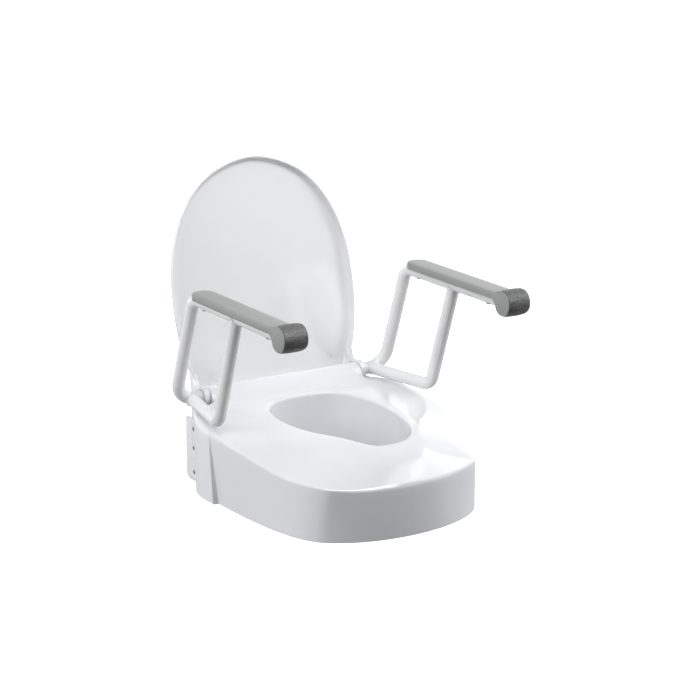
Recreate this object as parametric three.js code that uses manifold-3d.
// Raised toilet seat with a lid, shown open, and two fold-up armrests.
// Millimetres, +Z up. X = 0 is the symmetry plane, the front is -Y, the rear is +Y.
// The origin lies on the plane of the skirt's lower edge, straight below the pivot axis
// that the lid and both armrests share. Pieces named "right" lie at +X.

import * as THREE from 'three';
import { mergeVertices } from 'three/addons/utils/BufferGeometryUtils.js';
import Module from 'manifold-3d';

const wasm = await Module();
wasm.setup();

// ---------------------------------------------------------------- shared dimensions
const PIVOT_Z = 175;            // height of the pivot axis above the skirt's lower edge
const CLEARANCE = 0.3;          // between parts that fit into each other

const RIDGE_HALF_L = 174;       // ridge across the rear that holds the pivot shafts
const RIDGE_R = 17;
const RIDGE_BORE_R = 14.2;

const TUBE_R = 12.5;            // armrest tube
const TUBE_CLEAR_R = TUBE_R + CLEARANCE;

const LID_EAR_X = [176.5, 188];
const LID_EAR_R = 20;
const LID_BORE_R = 14.5;

const HOLE_Y = 6;               // column of holes in the seat's sides and the plates
const PIN_HOLE_Z = [18, 68, 108];
const PIN_HOLE_R = 4.5;
const PLATE_SCREW_Z = { lower: 43, upper: 88 };
const PLATE_SCREW_HOLE_R = 2.4;

const POST_HALF_W = 12;         // guide post for the front rest
const POST_Y = [-412, -397];

// ---------------------------------------------------------------- materials
const WHITE_PLASTIC = { color: 0xeceef0, roughness: 0.22, metalness: 0 };
const WHITE_COAT = { color: 0xf1f1f1, roughness: 0.3, metalness: 0.05 };
const PAD_GREY = { color: 0xa2a4a3, roughness: 0.5, metalness: 0 };
const GRIP_GREY = { color: 0x6f7272, roughness: 0.55, metalness: 0 };
const CAP_GREY = { color: 0x8f9291, roughness: 0.45, metalness: 0 };
const ZINC = { color: 0xb9bcc0, roughness: 0.35, metalness: 0.9 };
const RUBBER = { color: 0x2d2e30, roughness: 0.8, metalness: 0 };
const BUSH = { color: 0xd9dadc, roughness: 0.5, metalness: 0 };

// ---------------------------------------------------------------- solids and meshes
// A solid from a closed geometry, with its seams merged and its faces turned outwards.
function solid(geometry) {
  const bare = geometry.clone();
  for (const name of Object.keys(bare.attributes)) {
    if (name !== 'position') bare.deleteAttribute(name);
  }
  const merged = mergeVertices(bare, 1e-4);
  const index = merged.index.array;
  const triangles = [];
  for (let i = 0; i < index.length; i += 3) {
    const [a, b, c] = [index[i], index[i + 1], index[i + 2]];
    if (a !== b && b !== c && c !== a) triangles.push(a, b, c);
  }
  const positions = Float32Array.from(merged.attributes.position.array);
  const corner = (i) => new THREE.Vector3().fromArray(positions, 3 * triangles[i]);
  let volume = 0;
  for (let i = 0; i < triangles.length; i += 3) {
    volume += corner(i).dot(corner(i + 1).cross(corner(i + 2)));
  }
  if (volume < 0) {
    for (let i = 0; i < triangles.length; i += 3) {
      [triangles[i], triangles[i + 1]] = [triangles[i + 1], triangles[i]];
    }
  }
  return new wasm.Manifold(new wasm.Mesh({
    numProp: 3,
    vertProperties: positions,
    triVerts: Uint32Array.from(triangles),
  }));
}

function indexedGeometry(positions, index) {
  const geometry = new THREE.BufferGeometry();
  geometry.setAttribute('position', new THREE.BufferAttribute(Float32Array.from(positions), 3));
  geometry.setIndex(new THREE.BufferAttribute(Uint32Array.from(index), 1));
  return geometry;
}

const root = new THREE.Group();

function add(name, body, finish) {
  const { vertProperties, triVerts } = body.getMesh();
  const geometry = indexedGeometry(vertProperties, triVerts);
  geometry.computeVertexNormals();
  const mesh = new THREE.Mesh(geometry, new THREE.MeshStandardMaterial(finish));
  mesh.name = name;
  root.add(mesh);
}

// the piece at +X and its mirror image
function addPair(name, right, finish) {
  add(`${name}_right`, right, finish);
  add(`${name}_left`, right.mirror([1, 0, 0]), finish);
}

// ---------------------------------------------------------------- basic shapes
// X range on one side of the symmetry plane, in rising order; side is -1 or 1
const sideSpan = (side, span) => span.map((x) => side * x).sort((a, b) => a - b);

function box(x, y, z) {
  const geometry = new THREE.BoxGeometry(x[1] - x[0], y[1] - y[0], z[1] - z[0]);
  geometry.translate((x[0] + x[1]) / 2, (y[0] + y[1]) / 2, (z[0] + z[1]) / 2);
  return solid(geometry);
}

// cylinder along X, Y or Z between two coordinates on that axis
function rod(axis, radius, [from, to], offset, segments) {
  const geometry = new THREE.CylinderGeometry(radius, radius, to - from, segments);
  geometry.translate(0, (from + to) / 2, 0);
  if (axis === 'x') geometry.rotateZ(-Math.PI / 2);
  if (axis === 'z') geometry.rotateX(Math.PI / 2);
  geometry.translate(...offset);
  return solid(geometry);
}

// profile of [distance along X, radius] turned about the line along X through the offset
function turnX(profile, offset, segments) {
  const points = profile.map(([x, radius]) => new THREE.Vector2(radius, x));
  const geometry = new THREE.LatheGeometry(points, segments);
  geometry.rotateZ(-Math.PI / 2);
  geometry.translate(...offset);
  return solid(geometry);
}

// plain ring about the pivot axis
function pivotRing([x0, x1], innerR, outerR, segments) {
  const profile = [[x0, innerR], [x0, outerR], [x1, outerR], [x1, innerR], [x0, innerR]];
  return turnX(profile, [0, 0, PIVOT_Z], segments);
}

function extrude(outline, depth) {
  const shape = new THREE.Shape(outline.map(([a, b]) => new THREE.Vector2(a, b)));
  return new THREE.ExtrudeGeometry(shape, { depth, bevelEnabled: false });
}

// prism along X from an outline in the YZ plane
function prismX(outline, [x0, x1]) {
  const geometry = extrude(outline, x1 - x0);
  geometry.applyMatrix4(new THREE.Matrix4().set(0, 0, 1, x0, 1, 0, 0, 0, 0, 1, 0, 0, 0, 0, 0, 1));
  return solid(geometry);
}

// prism along Z from an outline in the XY plane
function prismZ(outline, [z0, z1]) {
  const geometry = extrude(outline, z1 - z0);
  geometry.translate(0, 0, z0);
  return solid(geometry);
}

// body drawn along rising X through YZ outlines of equal length that run clockwise
// with Y to the right and Z up
function loftX(stations, outlineAt) {
  const rows = stations.map((x) => outlineAt(x).map(([y, z]) => [x, y, z]));
  const count = rows[0].length;
  const last = (rows.length - 1) * count;
  const index = [];
  for (let start = 0; start < last; start += count) {
    for (let j = 0; j < count; j++) {
      const here = start + j;
      const beside = start + (j + 1) % count;
      index.push(here, beside, here + count, beside, beside + count, here + count);
    }
  }
  const endFace = rows[0].map(([, y, z]) => new THREE.Vector2(y, z));
  for (const [a, b, c] of THREE.ShapeUtils.triangulateShape(endFace, [])) {
    index.push(a, b, c, last + c, last + b, last + a);
  }
  return solid(indexedGeometry(rows.flat(2), index));
}

// triangles between neighbouring closed rings; wrap also joins the last ring to the first
function ringSkin(ringCount, perRing, wrap) {
  const index = [];
  for (let i = 0; i < (wrap ? ringCount : ringCount - 1); i++) {
    const here = i * perRing;
    const next = ((i + 1) % ringCount) * perRing;
    for (let j = 0; j < perRing; j++) {
      const k = (j + 1) % perRing;
      index.push(here + j, here + k, next + k, here + j, next + k, next + j);
    }
  }
  return index;
}

// closes a half outline whose first and last points lie on X = 0
const mirrorOutline = (half) => [...half, ...half.slice(1, -1).reverse().map(([x, y]) => [-x, y])];

// A centreline made of straight runs and circular bends, with one step at each sample.
class BentPath extends THREE.Curve {
  constructor(corners, radii, bendSteps = 6) {
    super();
    const vertices = corners.map((corner) => new THREE.Vector3(...corner));
    this.points = [vertices[0]];
    this.tangents = [vertices[1].clone().sub(vertices[0]).normalize()];
    for (let i = 1; i < vertices.length - 1; i++) {
      this.addBend(vertices[i - 1], vertices[i], vertices[i + 1], radii[i - 1], bendSteps);
    }
    this.points.push(vertices.at(-1));
    this.tangents.push(vertices.at(-1).clone().sub(vertices.at(-2)).normalize());
  }
  addBend(before, corner, after, radius, bendSteps) {
    const back = before.clone().sub(corner).normalize();
    const ahead = after.clone().sub(corner).normalize();
    const half = back.angleTo(ahead) / 2;
    const bisector = back.clone().add(ahead).normalize();
    const centre = corner.clone().add(bisector.multiplyScalar(radius / Math.sin(half)));
    const start = corner.clone().addScaledVector(back, radius / Math.tan(half));
    const axis = back.clone().cross(ahead).normalize();
    const turn = Math.PI - 2 * half;
    for (let k = 0; k <= bendSteps; k++) {
      const rotation = new THREE.Quaternion().setFromAxisAngle(axis, (-turn * k) / bendSteps);
      this.points.push(start.clone().sub(centre).applyQuaternion(rotation).add(centre));
      this.tangents.push(back.clone().negate().applyQuaternion(rotation));
    }
  }
  get steps() {
    return this.points.length - 1;
  }
  // keeps the samples at the path's own points instead of spacing them evenly
  getUtoTmapping(u) {
    return u;
  }
  getPoint(t, target = new THREE.Vector3()) {
    const place = t * this.steps;
    const i = Math.min(this.steps - 1, Math.floor(place + 1e-9));
    return target.lerpVectors(this.points[i], this.points[i + 1], place - i);
  }
  getTangent(t, target = new THREE.Vector3()) {
    return target.copy(this.tangents[Math.min(this.steps, Math.round(t * this.steps))]);
  }
}

function tube(path, radius, curveSegments) {
  const circle = new THREE.Shape();
  circle.absarc(0, 0, radius, 0, 2 * Math.PI, false);
  return solid(new THREE.ExtrudeGeometry(circle, {
    steps: path.steps,
    curveSegments,
    extrudePath: path,
    bevelEnabled: false,
  }));
}

// ---------------------------------------------------------------- seat dimensions
const WALL = 4;                 // wall of the moulded seat
const CENTRE_Y = -215;          // centre that the seat's sections fan out from
const SEAT_REAR_Y = 17.5;
const LIP_R = 8;                // rounding of the opening's rim
const RIM_Z = 163;
const RIM_REAR_Z = 167;
const RIM_FRONT_Z = 167;
const RECESS_DEPTH = 13;        // hygiene recess in the front of the rim
const RECESS_HALF_W = 52;
const RECESS_BLEND = 18;        // half the width over which its sides fade out
const FUNNEL_Z = 48;            // lower edge of the splash funnel
const FUNNEL_BEND_Z = 112;
const WEB_BOTTOM_Z = 120;       // rear web below the ridge

// +X half of the opening's rim, front to rear: [x, y]
const OPENING = [
  [0, -396], [20, -395], [38, -391.5], [52, -384], [62, -374], [70, -361], [77.5, -346],
  [86, -325], [93.5, -301.5], [100.5, -277], [106, -250], [109.8, -219.5], [111, -195],
  [109.8, -170], [104.5, -141.5], [94.5, -112], [82, -94], [64, -79.5], [42, -71.5],
  [20, -68.5], [0, -68],
];
// rear end that the upper and the lower edge have in common: [x, y]
const REAR_EDGE = [
  [203, -14], [199.5, -4], [199.5, 17],
  ...[174, 140, 105, 70, 35, 0].map((x) => [x, SEAT_REAR_Y]),
];
// +X half of the seat's upper and lower edge, front to rear, point for point: [x, y]
const UPPER_EDGE = [
  [0, -480.5], [34, -479], [67, -474.5], [96, -467.5], [122, -460], [145, -451],
  [164, -440.5], [184.5, -415], [199, -386], [212, -350.5], [223.5, -311], [234.3, -266.4],
  [242.4, -224], [245.7, -187], [247, -157], [247.3, -139.5], [247.3, -137], [246, -110],
  [242.5, -84], [235.5, -60], [225.5, -41], [213.5, -25], ...REAR_EDGE,
];
const LOWER_EDGE = [
  [0, -487], [34, -485], [68, -480], [98, -472], [125, -461.5], [150, -447.5],
  [172, -430.5], [188, -409], [200.5, -381], [209, -349], [216, -312], [221.5, -266],
  [225, -222], [227, -185], [228, -155], [228, -139.5], [238.5, -137], [239.5, -110],
  [238, -84], [232.5, -60], [224, -41], [213, -25], ...REAR_EDGE,
];
// height of the upper edge: [y, z]
const EDGE_HEIGHT = [
  [-480.5, 96.5], [-468, 97], [-460, 99.8], [-451, 101.8], [-440, 104.6], [-424, 106.6],
  [-400, 108.2], [-385, 109.7], [-370, 110.8], [-350, 113.2], [-331, 116.3], [-308, 121.1],
  [-285, 126.4], [-266, 130.7], [-247, 134.7], [-233, 137.7], [-218, 140.5], [-204, 142.9],
  [-190, 145.8], [-160, 150.4], [-125, 154.2], [-85, 157.4], [-50, 159.6], [-20, 160.3],
  [SEAT_REAR_Y, 160.3],
];
// ridge section: [y, height above the pivot axis]
const RIDGE_FOOT_Y = -64;
const RIDGE_SLOPE = [
  [RIDGE_FOOT_Y, -11.5], [-52, -5.2], [-44, -1.5], [-36, 2.4], [-28, 6.3], [-20, 10.1], [-13, 13.2],
];
const RIDGE_CROWN = [
  [-6.5, 15.9], [0, RIDGE_R], [7.2, 15.4], [12.8, 11.2], [16.2, 5.2], [SEAT_REAR_Y, 0],
];

// ---------------------------------------------------------------- seat shell
// eased step from 0 at a to 1 at b
function smooth(a, b, x) {
  const t = Math.min(1, Math.max(0, (x - a) / (b - a)));
  return t * t * (3 - 2 * t);
}

// linear interpolation in a table of [key, value] with rising keys
function lookUp(table, key) {
  let i = 0;
  while (i < table.length - 2 && key > table[i + 1][0]) i++;
  const [[key0, value0], [key1, value1]] = [table[i], table[i + 1]];
  const t = Math.min(1, Math.max(0, (key - key0) / (key1 - key0)));
  return value0 + (value1 - value0) * t;
}

// the opening's rim seen from the centre: [angle from the front, radius]
const RIM_POLAR = OPENING.map(([x, y]) => [Math.atan2(x, CENTRE_Y - y), Math.hypot(x, y - CENTRE_Y)]);
const rimRadius = (direction) => lookUp(RIM_POLAR, Math.atan2(Math.abs(direction.x), -direction.y));

const frontShare = (y) => smooth(-260, -360, y);

function recessDepth(x, y) {
  const fade = smooth(RECESS_HALF_W - RECESS_BLEND, RECESS_HALF_W + RECESS_BLEND, Math.abs(x));
  return RECESS_DEPTH * frontShare(y) * (1 - fade);
}

function rimHeight(x, y) {
  const rear = (RIM_REAR_Z - RIM_Z) * smooth(-150, -70, y);
  const front = (RIM_FRONT_Z - RIM_Z) * frontShare(y);
  return RIM_Z + rear + front - recessDepth(x, y);
}

// closed wall section on the ray from the centre to a point of the upper edge
function seatSection([upperX, upperY], [lowerX, lowerY]) {
  const direction = new THREE.Vector2(upperX, upperY - CENTRE_Y);
  const outerR = direction.length();
  direction.normalize();
  const at = (radius, z) => [direction.x * radius, CENTRE_Y + direction.y * radius, z];

  const rimR = rimRadius(direction);
  const [rimX, rimY] = at(rimR, 0);
  const rimZ = rimHeight(rimX, rimY);
  const edgeZ = lookUp(EDGE_HEIGHT, upperY);

  // the recess and the slightly raised front of the rim fade out soon after the rim
  const cut = recessDepth(rimX, rimY);
  const lift = rimY < -200 ? rimZ + cut - RIM_Z : 0;
  const base = rimZ + cut - lift;
  const deckStart = rimR + LIP_R;
  const deckR = (u) => deckStart + (outerR - deckStart) * u;
  const deckZ = (u) => {
    const drop = 0.55 * u + 0.45 * u ** 2;
    return base + (edgeZ - base) * drop + (lift - cut) * (1 - smooth(0, 0.62, u));
  };
  const inward = new THREE.Vector2(lowerX, lowerY - CENTRE_Y).normalize().multiplyScalar(-WALL);

  return [
    // funnel's bore and the rounded lip
    at(rimR - 17, FUNNEL_Z),
    at(rimR - 7, FUNNEL_BEND_Z),
    at(rimR - 2, rimZ - 18),
    at(rimR, rimZ - LIP_R),
    at(rimR + 0.3 * LIP_R, rimZ - 0.3 * LIP_R),
    at(deckStart, rimZ),
    // deck, then the skirt's lower edge
    ...[0.15, 0.32, 0.5, 0.7, 0.86, 1].map((u) => at(deckR(u), deckZ(u))),
    [lowerX, lowerY, 0],
    [lowerX + inward.x, lowerY + inward.y, 0],
    // underside of the deck
    ...[1, 0.85, 0.6, 0.25].map((u) => at(deckR(u) - (u > 0.8 ? WALL : 2), deckZ(u) - WALL)),
    // hidden face of the lip and the funnel
    at(deckStart - 1, rimZ - WALL),
    at(rimR + 3.5, rimZ - 9),
    at(rimR + 1.8, rimZ - 19),
    at(rimR - 3.2, FUNNEL_BEND_Z),
    at(rimR - 13.2, FUNNEL_Z),
  ];
}

function seatSheet() {
  const lower = mirrorOutline(LOWER_EDGE);
  const sections = mirrorOutline(UPPER_EDGE).map((point, i) => seatSection(point, lower[i]));
  const index = ringSkin(sections.length, sections[0].length, true);
  return solid(indexedGeometry(sections.flat(2), index));
}

// ridge over the pivot shafts with its rear web; its front slope runs out sideways into the deck
function ridge() {
  const outlineAt = (x) => {
    const share = 1 - smooth(135, 205, Math.abs(x));
    const slope = RIDGE_SLOPE.map(([y, z]) => {
      const low = -13.5 + (y - RIDGE_FOOT_Y) * 0.02;
      return [y, PIVOT_Z + low + (z - low) * (y < -25 ? share : 1)];
    });
    return [
      [RIDGE_FOOT_Y, PIVOT_Z - 24],
      ...slope,
      ...RIDGE_CROWN.map(([y, z]) => [y, PIVOT_Z + z]),
      [SEAT_REAR_Y, WEB_BOTTOM_Z],
      [SEAT_REAR_Y - WALL, WEB_BOTTOM_Z],
      [SEAT_REAR_Y - WALL, PIVOT_Z - 19],
    ];
  };
  const stations = [135, 149, 162, RIDGE_HALF_L];
  return loftX([...stations.map((x) => -x).reverse(), ...stations], outlineAt);
}

// pin and screw holes along X, as in the height plates
function drillPlateHoles(body, span, pinHoleR, segments) {
  let drilled = body;
  for (const z of PIN_HOLE_Z) {
    drilled = drilled.subtract(rod('x', pinHoleR, span, [0, HOLE_Y, z], segments));
  }
  for (const z of Object.values(PLATE_SCREW_Z)) {
    drilled = drilled.subtract(rod('x', PLATE_SCREW_HOLE_R, span, [0, HOLE_Y, z], 8));
  }
  return drilled;
}

function seatShell() {
  // the rear is open below the ridge, for the bowl and the fixing bracket
  let shell = seatSheet().subtract(box([-188, 188], [-40, 40], [-5, 118]));
  shell = shell.add(ridge());
  const boreX = [-RIDGE_HALF_L - 1, RIDGE_HALF_L + 1];
  shell = shell.subtract(rod('x', RIDGE_BORE_R, boreX, [0, 0, PIVOT_Z], 24));
  const reliefR = LID_EAR_R + 2.5;
  for (const side of [-1, 1]) {
    // relief round the lid's ear, open towards the rear
    const reliefX = sideSpan(side, [RIDGE_HALF_L, LID_EAR_X[1] + 3.5]);
    shell = shell.subtract(rod('x', reliefR, reliefX, [0, 0, PIVOT_Z], 28));
    shell = shell.subtract(box(reliefX, [0, 20], [PIVOT_Z - reliefR, PIVOT_Z]));
    shell = drillPlateHoles(shell, sideSpan(side, [193, 203]), PIN_HOLE_R + CLEARANCE, 12);
  }
  return shell.add(box([-POST_HALF_W, POST_HALF_W], POST_Y, [10, 147]));
}
add('seat_shell', seatShell(), WHITE_PLASTIC);

// ---------------------------------------------------------------- lid
// In its own plane: u runs from the pivot axis to the lid's tip, w to its back.
const LID_LEAN = THREE.MathUtils.degToRad(12);
const LID_LIP_W = 26;
const LID_FLOOR_W = 39.5;
const LID_BACK_W = 43;
const LID_MID_U = 215;

// +X half of the lid's outline, tip to foot: [x, u]
const LID_HALF = [
  [0, 460], [30, 457], [57, 450], [98, 432], [130, 408], [157, 377], [181, 335], [196, 292],
  [204.5, 248], [208, 200], [207.5, 150], [203, 108], [194, 65], [183, 30], [174, 8],
  [166, -1], [150, -3], [75, -3], [0, -3],
];

const lidPoint = (x, u, w) => [
  x,
  u * Math.sin(LID_LEAN) + w * Math.cos(LID_LEAN),
  PIVOT_Z + u * Math.cos(LID_LEAN) - w * Math.sin(LID_LEAN),
];

function lidPan() {
  const outline = mirrorOutline(LID_HALF);
  const count = outline.length;
  // the outline runs clockwise seen from the front, so inwards is to the right of its course
  const inset = (distance, w) => outline.map(([x, u], i) => {
    const before = outline[(i + count - 1) % count];
    const after = outline[(i + 1) % count];
    const along = new THREE.Vector2(after[0] - before[0], after[1] - before[1]).normalize();
    return lidPoint(x + along.y * distance, u - along.x * distance, w);
  });
  const halved = (w) => outline.map(([x, u]) => lidPoint(x * 0.5, LID_MID_U + (u - LID_MID_U) * 0.5, w));
  const rings = [
    // back
    halved(LID_BACK_W + 3),
    inset(16, LID_BACK_W + 1),
    inset(5, LID_BACK_W - 2),
    inset(0.8, LID_BACK_W - 8),
    // lip
    inset(0, LID_LIP_W),
    inset(3, LID_LIP_W),
    // inside
    inset(4.5, LID_FLOOR_W - 7),
    inset(9, LID_FLOOR_W - 1),
    inset(18, LID_FLOOR_W),
    halved(LID_FLOOR_W + 1.5),
  ];
  const index = ringSkin(rings.length, count, false);
  const backCentre = rings.length * count;
  const floorCentre = backCentre + 1;
  const lastRing = backCentre - count;
  for (let i = 0; i < count; i++) {
    const next = (i + 1) % count;
    index.push(backCentre, next, i, floorCentre, lastRing + i, lastRing + next);
  }
  const positions = [
    ...rings.flat(2),
    ...lidPoint(0, LID_MID_U, LID_BACK_W + 3.5),
    ...lidPoint(0, LID_MID_U, LID_FLOOR_W + 2),
  ];
  return solid(indexedGeometry(positions, index));
}

function lidEar(side) {
  const outline = []; // [u, w]
  for (let i = 0; i <= 14; i++) {
    const angle = Math.PI * (1.13 - 1.25 * (i / 14)) + Math.PI;
    outline.push([LID_EAR_R * Math.cos(angle), LID_EAR_R * Math.sin(angle)]);
  }
  outline.push(
    [-14, LID_FLOOR_W - 8], [4, LID_FLOOR_W], [44, LID_FLOOR_W], [44, LID_LIP_W + 1], [22, 22],
  );
  return prismX(outline.map(([u, w]) => lidPoint(0, u, w).slice(1)), sideSpan(side, LID_EAR_X));
}

function lid() {
  let body = lidPan();
  for (const side of [-1, 1]) {
    const bore = rod('x', LID_BORE_R, sideSpan(side, [170, 192]), [0, 0, PIVOT_Z], 24);
    body = body.add(lidEar(side)).subtract(bore);
  }
  return body;
}
add('lid', lid(), WHITE_PLASTIC);
addPair('lid_hinge_bush', pivotRing(LID_EAR_X, TUBE_CLEAR_R, LID_BORE_R - CLEARANCE, 24), BUSH);

// ---------------------------------------------------------------- armrests
const TUBE_INNER_R = 10.3;
const ARM_X = 244;
const SHAFT_END_X = 90;         // inner end of the pivot shaft
const WELD_X = 210;             // where the lower rail meets the shaft
const ARM_TOP_Z = 399.5;
const REAR_TOP = [243, -83, ARM_TOP_Z]; // the rear posts lean slightly inwards
const RAIL_FRONT_Y = -174;
const FRONT_TOP_Y = -251;
const ARM_FRONT_Y = -438;
const SHAFT_BEND_R = 43;
const TOP_BEND_R = 32;
const RAIL_BEND_R = 30;
const PAD_HALF_W = 23;
const PAD_BOTTOM_Z = 406;
const PAD_TOP_Z = 420.5;
const PAD_REAR_Y = -102;
const PAD_FRONT_Y = -417;
const PAD_STEP = 3;             // width and height of the step round the pad's top
const KNOB_CENTRE = [ARM_X, -443, 403.5];
const KNOB_R = 26;
const KNOB_HALF_L = 24.5;
const KNOB_FACE_R = 20.5;
const CAP_R = 18;
const PAD_SCREW_Y = { rear: -127, front: -366 };

// shaft, rear post and armrest bar; overrun lengthens both ends
const mainPath = (overrun) => new BentPath([
  [SHAFT_END_X - overrun, 0, PIVOT_Z],
  [ARM_X, 0, PIVOT_Z],
  REAR_TOP,
  [ARM_X, ARM_FRONT_Y - overrun, ARM_TOP_Z],
], [SHAFT_BEND_R, TOP_BEND_R]);

const padScrewHole = (y, radius, zSpan) => rod('z', radius, zSpan, [ARM_X, y, 0], 8);

function armFrame() {
  // lower rail and front post
  const rail = new BentPath([
    [WELD_X, 0, PIVOT_Z],
    [ARM_X - 1, RAIL_FRONT_Y, PIVOT_Z],
    [ARM_X, FRONT_TOP_Y, ARM_TOP_Z - 3],
  ], [RAIL_BEND_R], 5);
  let frame = tube(mainPath(0), TUBE_R, 7).add(tube(rail, TUBE_R, 7));
  frame = frame.subtract(tube(mainPath(1), TUBE_INNER_R, 4)).subtract(tube(rail, TUBE_INNER_R, 4));
  for (const y of Object.values(PAD_SCREW_Y)) {
    frame = frame.subtract(padScrewHole(y, 2.6, [ARM_TOP_Z - 20, ARM_TOP_Z + 20]));
  }
  return frame;
}
addPair('arm_frame', armFrame(), WHITE_COAT);

// round at the rear, square at the front
function padOutline(halfWidth) {
  const outline = [];
  for (let i = 0; i <= 12; i++) {
    const angle = Math.PI * (i / 12);
    outline.push([
      ARM_X + halfWidth * Math.cos(angle),
      PAD_REAR_Y - PAD_HALF_W + halfWidth * Math.sin(angle),
    ]);
  }
  outline.push([ARM_X - halfWidth, PAD_FRONT_Y], [ARM_X + halfWidth, PAD_FRONT_Y]);
  return outline;
}

function armPad() {
  const lower = prismZ(padOutline(PAD_HALF_W), [PAD_BOTTOM_Z, PAD_TOP_Z - PAD_STEP]);
  const upper = prismZ(padOutline(PAD_HALF_W - PAD_STEP), [PAD_TOP_Z - PAD_STEP - 1, PAD_TOP_Z]);
  const postPath = new BentPath([
    [ARM_X, 0, PIVOT_Z], REAR_TOP, [ARM_X, ARM_FRONT_Y, ARM_TOP_Z],
  ], [TOP_BEND_R]);
  const barY = [PAD_FRONT_Y - 10, PAD_REAR_Y + 10];
  const [, knobY, knobZ] = KNOB_CENTRE;
  let pad = lower.add(upper)
    .subtract(rod('y', TUBE_CLEAR_R, barY, [ARM_X, 0, ARM_TOP_Z], 20))
    .subtract(tube(postPath, TUBE_R + 0.5, 8))
    .subtract(rod('x', KNOB_R + CLEARANCE, [ARM_X - 40, ARM_X + 40], [0, knobY, knobZ], 32));
  for (const y of Object.values(PAD_SCREW_Y)) {
    pad = pad.subtract(padScrewHole(y, 2.4, [ARM_TOP_Z, PAD_TOP_Z - 3]));
  }
  return pad;
}
addPair('arm_pad', armPad(), PAD_GREY);

function gripKnob() {
  const seatX = KNOB_HALF_L - 1.4; // floor of the cap's seat
  const outerHalf = [
    [seatX, 0],
    [seatX, CAP_R + CLEARANCE],
    [KNOB_HALF_L, CAP_R + CLEARANCE],
    [KNOB_HALF_L, KNOB_FACE_R - 0.6],
    [KNOB_HALF_L - 0.5, KNOB_FACE_R + 1.4],
    [KNOB_HALF_L - 2.2, KNOB_FACE_R + 4],
    [KNOB_HALF_L - 5, KNOB_FACE_R + 5.6],
    [KNOB_HALF_L - 9, KNOB_R],
  ];
  const innerHalf = outerHalf.map(([x, radius]) => [-x, radius]).reverse();
  const boreY = [ARM_FRONT_Y - 2, ARM_FRONT_Y + 50];
  return turnX([...outerHalf, ...innerHalf], KNOB_CENTRE, 26)
    .subtract(rod('y', TUBE_CLEAR_R, boreY, [ARM_X, 0, ARM_TOP_Z], 20));
}
addPair('grip_knob', gripKnob(), GRIP_GREY);

function knobCap(side) {
  const profile = [
    [KNOB_HALF_L - 1.1, 0],
    [KNOB_HALF_L - 1.1, CAP_R],
    [KNOB_HALF_L + 0.2, CAP_R],
    [KNOB_HALF_L + 0.7, CAP_R - 1.2],
    [KNOB_HALF_L + 0.7, 0],
  ];
  return turnX(profile.map(([x, radius]) => [side * x, radius]), KNOB_CENTRE, 22);
}
addPair('knob_cap_outer', knobCap(1), CAP_GREY);
addPair('knob_cap_inner', knobCap(-1), CAP_GREY);

function padScrew(y) {
  const headTop = ARM_TOP_Z - TUBE_CLEAR_R;
  const head = rod('z', 4.2, [headTop - 3, headTop], [ARM_X, y, 0], 14);
  return head.add(rod('z', 2, [headTop - 1, PAD_TOP_Z - 4], [ARM_X, y, 0], 8));
}
for (const [where, y] of Object.entries(PAD_SCREW_Y)) {
  addPair(`pad_screw_${where}`, padScrew(y), ZINC);
}

// ---------------------------------------------------------------- pivot shafts in the ridge
const BUSH_R = RIDGE_BORE_R - 0.2;

function outerBush() {
  const innerX = 152;
  const flangeX = [RIDGE_HALF_L + 0.3, RIDGE_HALF_L + 2.1];
  const flangeR = RIDGE_R - 0.4;
  return turnX([
    [innerX, TUBE_CLEAR_R], [innerX, BUSH_R], [flangeX[0], BUSH_R], [flangeX[0], flangeR],
    [flangeX[1], flangeR], [flangeX[1], TUBE_CLEAR_R], [innerX, TUBE_CLEAR_R],
  ], [0, 0, PIVOT_Z], 24);
}

function pivotBolt() {
  const headR = 6.5;
  const shankR = 4;
  const [headX, neckX, endX] = [-8, -2.5, 12].map((x) => SHAFT_END_X + x);
  return turnX([
    [headX, 0], [headX, headR], [neckX, headR], [neckX, shankR], [endX, shankR], [endX, 0],
  ], [0, 0, PIVOT_Z], 14);
}

// pivot ring placed from the shaft's inner end
const shaftRing = ([from, to], innerR, outerR, segments) =>
  pivotRing([SHAFT_END_X + from, SHAFT_END_X + to], innerR, outerR, segments);

addPair('pivot_bush_outer', outerBush(), BUSH);
addPair('pivot_bush_inner', shaftRing([0.5, 22], TUBE_CLEAR_R, BUSH_R, 24), BUSH);
addPair('shaft_plug', shaftRing([0.3, 13], 4.3, 9.3, 16), BUSH);
addPair('pivot_washer', shaftRing([-2.2, -0.3], 4.4, RIDGE_BORE_R - 0.4, 20), ZINC);
addPair('pivot_bolt', pivotBolt(), ZINC);

// ---------------------------------------------------------------- height adjustment
const PLATE_X = [199.9, 202.9];
const PLATE_Y = [-3, 36];
const PLATE_Z = [1, 130];
const PIN_R = 4;
const PIN_Z = PIN_HOLE_Z[0];    // the pin sits in the lowest hole
const STRAP_Z = [3, 6];
const STRAP_Y = [-16, 34];
const EAR_X = [192.4, 195.4];
const EAR_Y = [-8, 13.5];
const EAR_TOP_Z = 34;
const BOLT_SPACING = 155;       // the bowl's two fixing holes
const BOLT_SLOT_HALF_W = 4.5;
const REST_BOTTOM_Z = 3;
const RUBBER_GAP = 0.2;         // between a rubber pad and the part above it

function heightPlate() {
  const [y0, y1] = PLATE_Y;
  const [z0, z1] = PLATE_Z;
  const outline = [
    [y0, z0 + 2], [y0 + 2, z0], [y1 - 12, z0], [y1 - 3.5, z0 + 3.5], [y1, z0 + 12],
    [y1, z1 - 6], [y1 - 2, z1 - 2], [y1 - 6, z1], [y0 + 2, z1], [y0, z1 - 2],
  ];
  return drillPlateHoles(prismX(outline, PLATE_X), [190, 210], PIN_HOLE_R, 16);
}
addPair('height_plate', heightPlate(), WHITE_COAT);

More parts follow.
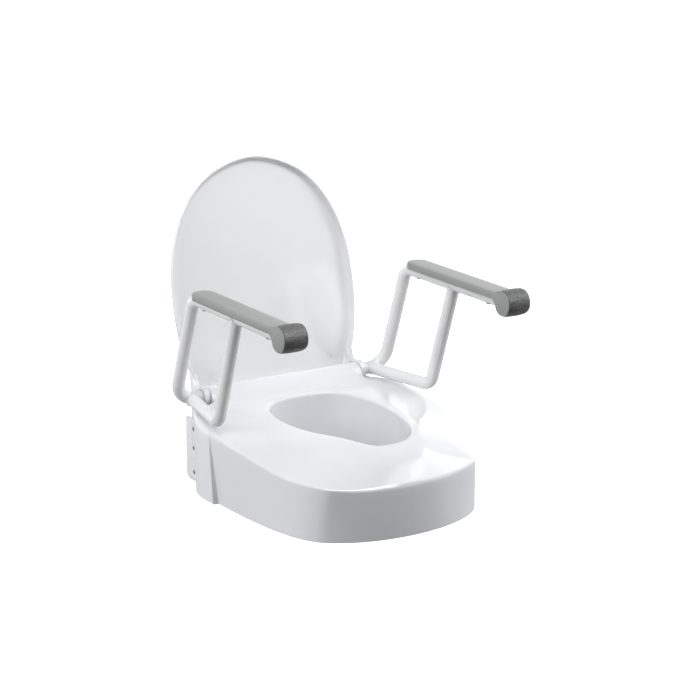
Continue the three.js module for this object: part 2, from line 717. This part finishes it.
const PLATE_SCREW_PROFILE = [[196.6, 0], [196.6, 2], [203, 2], [203.2, 0]]; // [x, radius]
for (const [where, z] of Object.entries(PLATE_SCREW_Z)) {
  addPair(`plate_screw_${where}`, turnX(PLATE_SCREW_PROFILE, [0, HOLE_Y, z], 12), WHITE_COAT);
}

// strap on the bowl with an upturned ear at each end
function fixingBracket() {
  let bracket = box([-EAR_X[1], EAR_X[1]], EAR_Y, STRAP_Z).add(box([-185, 185], STRAP_Y, STRAP_Z));
  for (const side of [-1, 1]) {
    const earX = sideSpan(side, EAR_X);
    const holeX = [earX[0] - 5, earX[1] + 5];
    const boltX = side * BOLT_SPACING / 2;
    bracket = bracket
      .add(box(earX, EAR_Y, [STRAP_Z[0], EAR_TOP_Z]))
      .subtract(rod('x', PIN_R + CLEARANCE, holeX, [0, HOLE_Y, PIN_Z], 12))
      .subtract(box([boltX - BOLT_SLOT_HALF_W, boltX + BOLT_SLOT_HALF_W], [-4, 22], [0, 10]));
  }
  return bracket;
}
const bracketPad = (xSpan) => box(xSpan, STRAP_Y, [0, STRAP_Z[0] - RUBBER_GAP]);

add('fixing_bracket', fixingBracket(), ZINC);
addPair('bracket_pad', bracketPad([112, 152]), RUBBER);
add('bracket_pad_centre', bracketPad([-40, 40]), RUBBER);

function lockPinKnob() {
  const boreR = PIN_R + CLEARANCE;
  return turnX([
    [158, 0], [158, 9], [160, 10.5], [168, 10.5], [170, 8], [178, 5.6],
    [178, boreR], [165.7, boreR], [165.7, 0],
  ], [0, HOLE_Y, PIN_Z], 16);
}
addPair('lock_pin', rod('x', PIN_R, [166, 195], [0, HOLE_Y, PIN_Z], 12), ZINC);
addPair('lock_pin_knob', lockPinKnob(), RUBBER);

// front rest that stands on the bowl's rim, with a cheek on each side of the guide post
function frontRest() {
  const guideGap = 0.4;
  let rest = box([-50, 50], [-438, POST_Y[0] - guideGap], [REST_BOTTOM_Z, 22]);
  for (const side of [-1, 1]) {
    const cheekX = sideSpan(side, [POST_HALF_W + guideGap, 20]);
    rest = rest.add(box(cheekX, [-418, -400], [REST_BOTTOM_Z, 40]));
  }
  return rest;
}
add('front_rest', frontRest(), WHITE_PLASTIC);
add('front_rest_pad', box([-46, 46], [-435, -415], [0, REST_BOTTOM_Z - RUBBER_GAP]), RUBBER);

export default root;
